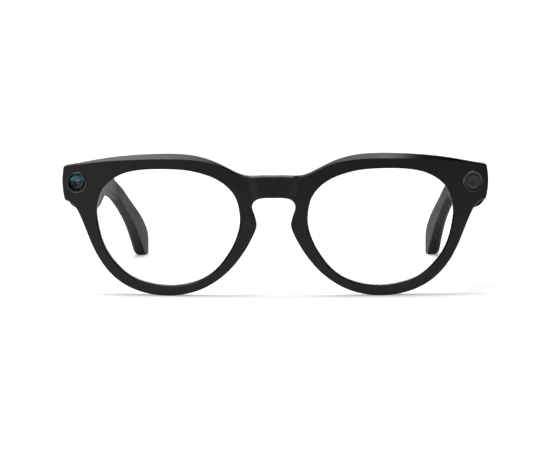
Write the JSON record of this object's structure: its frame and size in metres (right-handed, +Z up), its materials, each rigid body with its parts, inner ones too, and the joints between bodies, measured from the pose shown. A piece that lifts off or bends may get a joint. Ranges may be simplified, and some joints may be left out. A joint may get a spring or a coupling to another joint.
{
  "type": "smart glasses",
  "caption": "Full-rim smart glasses with a camera and a light at the ends of the front, clear lenses and folding temples that hold the electronics.",
  "frame": {"origin": "middle of the bounding box's bottom face, on the surface that the rims and the temple tips stand on", "axes": "+Z up, +Y from the front back along the temples, +X to the wearer's left"},
  "size_m": [0.1502, 0.1482, 0.0501],
  "materials": {
    "front_plastic": "satin",
    "temple_plastic": "satin",
    "cover_plastic": "satin",
    "clear_lens": "polished",
    "camera_glass": "polished",
    "bezel_black": "gloss",
    "inner_black": "matte",
    "smoked_diffuser": "satin",
    "white_board": "matte",
    "circuit_board": "satin",
    "flex_film": "satin",
    "gold_contact": "polished",
    "hinge_steel": "brushed",
    "screw_steel": "brushed",
    "shield_metal": "satin",
    "speaker_mesh": "satin",
    "battery_foil": "satin",
    "button_plastic": "satin"
  },
  "bodies": {
    "front": {"front_frame": "front_plastic", "brow_cover": "front_plastic", "front_flex": "flex_film", "charge_board": "circuit_board", "charge_pads": "gold_contact", "right_lens": "clear_lens", "left_lens": "clear_lens", "right_nose_pad": "front_plastic", "left_nose_pad": "front_plastic", "camera_bezel": "bezel_black", "camera_window": "camera_glass", "camera_barrel": "inner_black", "camera_lens": "camera_glass", "camera_sensor": "circuit_board", "light_bezel": "bezel_black", "light_diffuser": "smoked_diffuser", "light_board": "white_board", "right_hinge_bracket": "hinge_steel", "left_hinge_bracket": "hinge_steel", "right_bracket_screws": "screw_steel", "left_bracket_screws": "screw_steel", "right_hinge_pin": "screw_steel", "left_hinge_pin": "screw_steel"},
    "right_temple": {"right_temple_shell": "temple_plastic", "right_temple_cover": "cover_plastic", "right_hinge_leaf": "hinge_steel", "right_leaf_screws": "screw_steel", "main_board": "circuit_board", "chip_shield": "shield_metal", "touch_sensor": "flex_film", "wifi_antenna": "flex_film", "right_speaker": "inner_black", "right_speaker_mesh": "speaker_mesh", "right_microphone": "shield_metal", "button_switch": "inner_black"},
    "left_temple": {"left_temple_shell": "temple_plastic", "left_temple_cover": "cover_plastic", "left_hinge_leaf": "hinge_steel", "left_leaf_screws": "screw_steel", "battery": "battery_foil", "battery_board": "circuit_board", "left_speaker": "inner_black", "left_speaker_mesh": "speaker_mesh", "left_microphone": "shield_metal", "slider_switch": "inner_black"},
    "capture_button": {"capture_button": "button_plastic"},
    "power_slider": {"power_slider": "button_plastic"}
  },
  "joints": [
    {"name": "right_hinge", "type": "hinge", "parent": "front", "child": "right_temple", "pos_m": [-0.0635, -0.0513, 0.038], "axis": [0, 0, -1], "range_deg": [0, 90]},
    {"name": "left_hinge", "type": "hinge", "parent": "front", "child": "left_temple", "pos_m": [0.0635, -0.0513, 0.038], "axis": [0, 0, 1], "range_deg": [0, 80]},
    {"name": "capture_press", "type": "slide", "parent": "right_temple", "child": "capture_button", "axis": [0, 0, -1], "range_m": [0, 0.0004], "stiffness_N_per_m": 1500},
    {"name": "power_slide", "type": "slide", "parent": "left_temple", "child": "power_slider", "axis": [0, 1, 0], "range_m": [0, 0.0018]}
  ]
}
